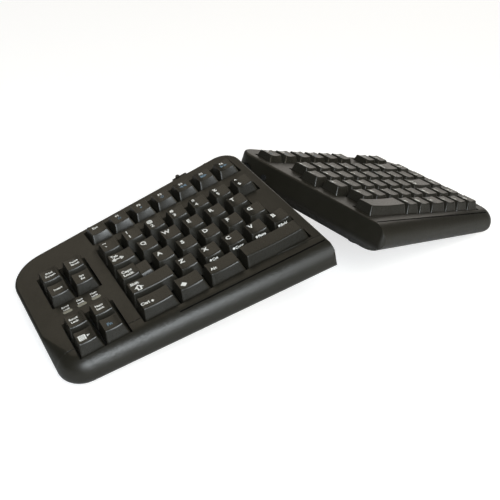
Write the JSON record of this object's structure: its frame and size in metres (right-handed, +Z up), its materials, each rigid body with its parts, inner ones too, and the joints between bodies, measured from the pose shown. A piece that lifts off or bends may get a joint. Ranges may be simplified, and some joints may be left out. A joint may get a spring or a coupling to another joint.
{
  "type": "split ball-jointed keyboard",
  "caption": "Two-piece ergonomic computer keyboard whose halves tent and splay about one ball joint with a lock lever, shown tented and opened, each key on its own spring.",
  "frame": {"origin": "centre of the bounding box's lower face, on the desk, with the keyboard in its tented pose", "axes": "+X from the left half to the right half, +Y from the typist to the back, +Z up"},
  "size_m": [0.428, 0.1694, 0.0864],
  "materials": {
    "cover_plastic": "fine texture",
    "base_plastic": "satin",
    "cap_plastic": "satin with printed legends",
    "guide_plastic": "satin",
    "dome_rubber": "matte",
    "foot_rubber": "matte",
    "membrane_film": "clear film with printed tracks",
    "plate_steel": "zinc plated",
    "screw_steel": "plated",
    "ball_steel": "polished",
    "socket_metal": "black coating",
    "liner_plastic": "natural acetal",
    "lens_plastic": "translucent",
    "board_laminate": "green solder mask"
  },
  "bodies": {
    "left_half": {"left_top_cover": "cover_plastic", "left_bottom_cover": "base_plastic", "left_key_plate": "guide_plastic", "left_dome_sheet": "dome_rubber", "left_membrane": "membrane_film", "left_back_plate": "plate_steel", "left_feet": "foot_rubber", "left_case_screws": "screw_steel", "ball_socket": "socket_metal", "lever_pin": "screw_steel", "clamp_rod": "screw_steel", "indicator_lenses": "lens_plastic", "indicator_board": "board_laminate", "controller_board": "board_laminate"},
    "tent_ring": {"outer_liner": "liner_plastic"},
    "splay_ring": {"inner_liner": "liner_plastic"},
    "right_half": {"right_top_cover": "cover_plastic", "right_bottom_cover": "base_plastic", "right_key_plate": "guide_plastic", "right_dome_sheet": "dome_rubber", "right_membrane": "membrane_film", "right_back_plate": "plate_steel", "right_feet": "foot_rubber", "right_case_screws": "screw_steel", "ball_stud": "ball_steel", "stud_block": "socket_metal", "link_board": "board_laminate", "cord_inlet": "foot_rubber", "seam_bumper": "foot_rubber"},
    "lever": {"lock_lever": "base_plastic"},
    "escape_key_body": {"escape_key": "cap_plastic"},
    "left_function_keys_body": {"left_function_keys": "cap_plastic"},
    "left_number_keys_body": {"left_number_keys": "cap_plastic"},
    "tab_key_body": {"tab_key": "cap_plastic"},
    "left_upper_letter_keys_body": {"left_upper_letter_keys": "cap_plastic"},
    "caps_lock_key_body": {"caps_lock_key": "cap_plastic"},
    "left_home_letter_keys_body": {"left_home_letter_keys": "cap_plastic"},
    "left_shift_key_body": {"left_shift_key": "cap_plastic"},
    "left_lower_letter_keys_body": {"left_lower_letter_keys": "cap_plastic"},
    "left_control_key_body": {"left_control_key": "cap_plastic"},
    "left_symbol_key_body": {"left_symbol_key": "cap_plastic"},
    "left_alt_key_body": {"left_alt_key": "cap_plastic"},
    "left_space_bar_body": {"left_space_bar": "cap_plastic"},
    "upper_nav_keys_body": {"upper_nav_keys": "cap_plastic"},
    "lower_nav_keys_body": {"lower_nav_keys": "cap_plastic"},
    "right_space_bar_body": {"right_space_bar": "cap_plastic"},
    "right_function_keys_body": {"right_function_keys": "cap_plastic"},
    "right_number_keys_body": {"right_number_keys": "cap_plastic"},
    "backspace_key_body": {"backspace_key": "cap_plastic"},
    "right_upper_letter_keys_body": {"right_upper_letter_keys": "cap_plastic"},
    "right_home_letter_keys_body": {"right_home_letter_keys": "cap_plastic"},
    "enter_key_body": {"enter_key": "cap_plastic"},
    "right_lower_letter_keys_body": {"right_lower_letter_keys": "cap_plastic"},
    "right_shift_key_body": {"right_shift_key": "cap_plastic"},
    "up_arrow_key_body": {"up_arrow_key": "cap_plastic"},
    "left_arrow_key_body": {"left_arrow_key": "cap_plastic"},
    "down_arrow_key_body": {"down_arrow_key": "cap_plastic"},
    "right_arrow_key_body": {"right_arrow_key": "cap_plastic"},
    "right_modifier_keys_body": {"right_modifier_keys": "cap_plastic"},
    "column_keys_body": {"column_keys": "cap_plastic"}
  },
  "joints": [
    {"name": "left_tent", "type": "hinge", "parent": "left_half", "child": "tent_ring", "pos_m": [0, 0.0616, 0.06687], "axis": [0.1305, 0.9914, 0], "range_deg": [-17, 13]},
    {"name": "splay", "type": "hinge", "parent": "tent_ring", "child": "splay_ring", "pos_m": [0, 0.0616, 0.06687], "axis": [0, 0, 1], "range_deg": [-15, 15]},
    {"name": "right_tent", "type": "hinge", "parent": "splay_ring", "child": "right_half", "pos_m": [0, 0.0616, 0.06687], "axis": [-0.1305, 0.9914, 0], "range_deg": [-17, 13]},
    {"name": "lever_swing", "type": "hinge", "parent": "left_half", "child": "lever", "pos_m": [-0.02182, 0.08175, 0.06415], "axis": [0.2899, -0.0382, -0.9563], "range_deg": [0, 60]},
    {"name": "escape_key_press", "type": "slide", "parent": "left_half", "child": "escape_key_body", "axis": [-0.2899, 0.0382, 0.9563], "range_m": [-0.0035, 0], "stiffness_N_per_m": 150, "springref_m": 0.002},
    {"name": "left_function_keys_press", "type": "slide", "parent": "left_half", "child": "left_function_keys_body", "axis": [-0.2899, 0.0382, 0.9563], "range_m": [-0.0035, 0], "stiffness_N_per_m": 150, "springref_m": 0.002},
    {"name": "left_number_keys_press", "type": "slide", "parent": "left_half", "child": "left_number_keys_body", "axis": [-0.2899, 0.0382, 0.9563], "range_m": [-0.0035, 0], "stiffness_N_per_m": 150, "springref_m": 0.002},
    {"name": "tab_key_press", "type": "slide", "parent": "left_half", "child": "tab_key_body", "axis": [-0.2899, 0.0382, 0.9563], "range_m": [-0.0035, 0], "stiffness_N_per_m": 150, "springref_m": 0.002},
    {"name": "left_upper_letter_keys_press", "type": "slide", "parent": "left_half", "child": "left_upper_letter_keys_body", "axis": [-0.2899, 0.0382, 0.9563], "range_m": [-0.0035, 0], "stiffness_N_per_m": 150, "springref_m": 0.002},
    {"name": "caps_lock_key_press", "type": "slide", "parent": "left_half", "child": "caps_lock_key_body", "axis": [-0.2899, 0.0382, 0.9563], "range_m": [-0.0035, 0], "stiffness_N_per_m": 150, "springref_m": 0.002},
    {"name": "left_home_letter_keys_press", "type": "slide", "parent": "left_half", "child": "left_home_letter_keys_body", "axis": [-0.2899, 0.0382, 0.9563], "range_m": [-0.0035, 0], "stiffness_N_per_m": 150, "springref_m": 0.002},
    {"name": "left_shift_key_press", "type": "slide", "parent": "left_half", "child": "left_shift_key_body", "axis": [-0.2899, 0.0382, 0.9563], "range_m": [-0.0035, 0], "stiffness_N_per_m": 150, "springref_m": 0.002},
    {"name": "left_lower_letter_keys_press", "type": "slide", "parent": "left_half", "child": "left_lower_letter_keys_body", "axis": [-0.2899, 0.0382, 0.9563], "range_m": [-0.0035, 0], "stiffness_N_per_m": 150, "springref_m": 0.002},
    {"name": "left_control_key_press", "type": "slide", "parent": "left_half", "child": "left_control_key_body", "axis": [-0.2899, 0.0382, 0.9563], "range_m": [-0.0035, 0], "stiffness_N_per_m": 150, "springref_m": 0.002},
    {"name": "left_symbol_key_press", "type": "slide", "parent": "left_half", "child": "left_symbol_key_body", "axis": [-0.2899, 0.0382, 0.9563], "range_m": [-0.0035, 0], "stiffness_N_per_m": 150, "springref_m": 0.002},
    {"name": "left_alt_key_press", "type": "slide", "parent": "left_half", "child": "left_alt_key_body", "axis": [-0.2899, 0.0382, 0.9563], "range_m": [-0.0035, 0], "stiffness_N_per_m": 150, "springref_m": 0.002},
    {"name": "left_space_bar_press", "type": "slide", "parent": "left_half", "child": "left_space_bar_body", "axis": [-0.2899, 0.0382, 0.9563], "range_m": [-0.0035, 0], "stiffness_N_per_m": 150, "springref_m": 0.002},
    {"name": "upper_nav_keys_press", "type": "slide", "parent": "left_half", "child": "upper_nav_keys_body", "axis": [-0.2899, 0.0382, 0.9563], "range_m": [-0.0035, 0], "stiffness_N_per_m": 150, "springref_m": 0.002},
    {"name": "lower_nav_keys_press", "type": "slide", "parent": "left_half", "child": "lower_nav_keys_body", "axis": [-0.2899, 0.0382, 0.9563], "range_m": [-0.0035, 0], "stiffness_N_per_m": 150, "springref_m": 0.002},
    {"name": "right_space_bar_press", "type": "slide", "parent": "right_half", "child": "right_space_bar_body", "axis": [0.2899, 0.0382, 0.9563], "range_m": [-0.0035, 0], "stiffness_N_per_m": 150, "springref_m": 0.002},
    {"name": "right_function_keys_press", "type": "slide", "parent": "right_half", "child": "right_function_keys_body", "axis": [0.2899, 0.0382, 0.9563], "range_m": [-0.0035, 0], "stiffness_N_per_m": 150, "springref_m": 0.002},
    {"name": "right_number_keys_press", "type": "slide", "parent": "right_half", "child": "right_number_keys_body", "axis": [0.2899, 0.0382, 0.9563], "range_m": [-0.0035, 0], "stiffness_N_per_m": 150, "springref_m": 0.002},
    {"name": "backspace_key_press", "type": "slide", "parent": "right_half", "child": "backspace_key_body", "axis": [0.2899, 0.0382, 0.9563], "range_m": [-0.0035, 0], "stiffness_N_per_m": 150, "springref_m": 0.002},
    {"name": "right_upper_letter_keys_press", "type": "slide", "parent": "right_half", "child": "right_upper_letter_keys_body", "axis": [0.2899, 0.0382, 0.9563], "range_m": [-0.0035, 0], "stiffness_N_per_m": 150, "springref_m": 0.002},
    {"name": "right_home_letter_keys_press", "type": "slide", "parent": "right_half", "child": "right_home_letter_keys_body", "axis": [0.2899, 0.0382, 0.9563], "range_m": [-0.0035, 0], "stiffness_N_per_m": 150, "springref_m": 0.002},
    {"name": "enter_key_press", "type": "slide", "parent": "right_half", "child": "enter_key_body", "axis": [0.2899, 0.0382, 0.9563], "range_m": [-0.0035, 0], "stiffness_N_per_m": 150, "springref_m": 0.002},
    {"name": "right_lower_letter_keys_press", "type": "slide", "parent": "right_half", "child": "right_lower_letter_keys_body", "axis": [0.2899, 0.0382, 0.9563], "range_m": [-0.0035, 0], "stiffness_N_per_m": 150, "springref_m": 0.002},
    {"name": "right_shift_key_press", "type": "slide", "parent": "right_half", "child": "right_shift_key_body", "axis": [0.2899, 0.0382, 0.9563], "range_m": [-0.0035, 0], "stiffness_N_per_m": 150, "springref_m": 0.002},
    {"name": "up_arrow_key_press", "type": "slide", "parent": "right_half", "child": "up_arrow_key_body", "axis": [0.2899, 0.0382, 0.9563], "range_m": [-0.0035, 0], "stiffness_N_per_m": 150, "springref_m": 0.002},
    {"name": "left_arrow_key_press", "type": "slide", "parent": "right_half", "child": "left_arrow_key_body", "axis": [0.2899, 0.0382, 0.9563], "range_m": [-0.0035, 0], "stiffness_N_per_m": 150, "springref_m": 0.002},
    {"name": "down_arrow_key_press", "type": "slide", "parent": "right_half", "child": "down_arrow_key_body", "axis": [0.2899, 0.0382, 0.9563], "range_m": [-0.0035, 0], "stiffness_N_per_m": 150, "springref_m": 0.002},
    {"name": "right_arrow_key_press", "type": "slide", "parent": "right_half", "child": "right_arrow_key_body", "axis": [0.2899, 0.0382, 0.9563], "range_m": [-0.0035, 0], "stiffness_N_per_m": 150, "springref_m": 0.002},
    {"name": "right_modifier_keys_press", "type": "slide", "parent": "right_half", "child": "right_modifier_keys_body", "axis": [0.2899, 0.0382, 0.9563], "range_m": [-0.0035, 0], "stiffness_N_per_m": 150, "springref_m": 0.002},
    {"name": "column_keys_press", "type": "slide", "parent": "right_half", "child": "column_keys_body", "axis": [0.2899, 0.0382, 0.9563], "range_m": [-0.0035, 0], "stiffness_N_per_m": 150, "springref_m": 0.002}
  ]
}
